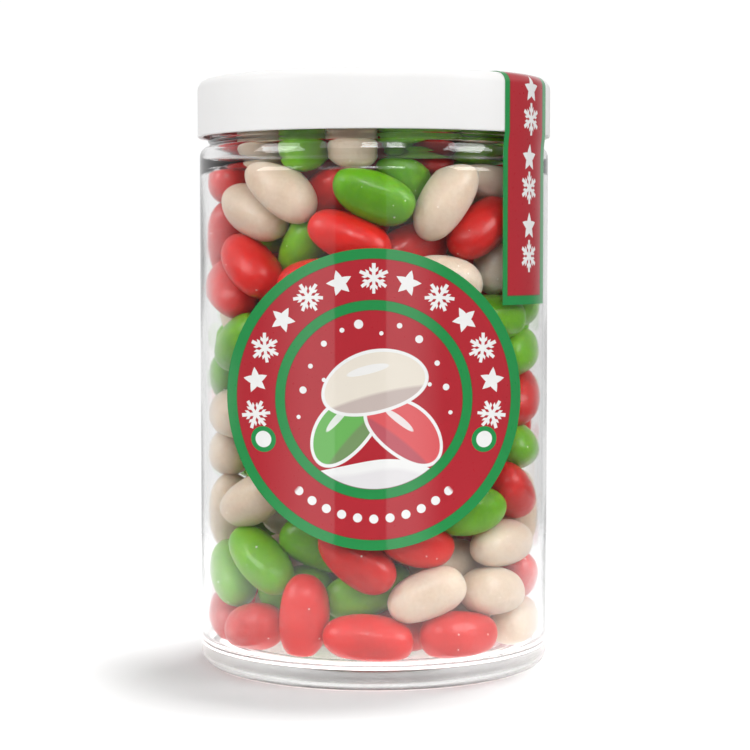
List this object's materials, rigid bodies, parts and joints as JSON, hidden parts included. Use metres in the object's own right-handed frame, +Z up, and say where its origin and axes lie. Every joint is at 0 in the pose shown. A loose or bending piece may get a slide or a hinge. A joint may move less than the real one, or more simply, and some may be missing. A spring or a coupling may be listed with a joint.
{
  "type": "jar of jelly beans",
  "caption": "Clear straight-sided jar filled to the neck with jelly beans, closed by a smooth screw lid, with a round front label and a seal strip folded over the lid.",
  "frame": {"origin": "middle of the base, on the surface the jar stands on", "axes": "+Z up along the jar's axis; the front label faces -Y, and the seal strip is on the front's +X side"},
  "size_m": [0.093, 0.093, 0.154],
  "materials": {
    "jar_plastic": "clear blown plastic",
    "lid_plastic": "smooth satin",
    "bean_candy": "polished sugar shell in red, green and cream",
    "label_film": "glossy printed film",
    "strip_film": "glossy printed film"
  },
  "bodies": {
    "root": {"jar": "jar_plastic", "lid": "lid_plastic", "jelly_beans": "bean_candy", "front_label": "label_film", "seal_strip": "strip_film"}
  },
  "joints": []
}
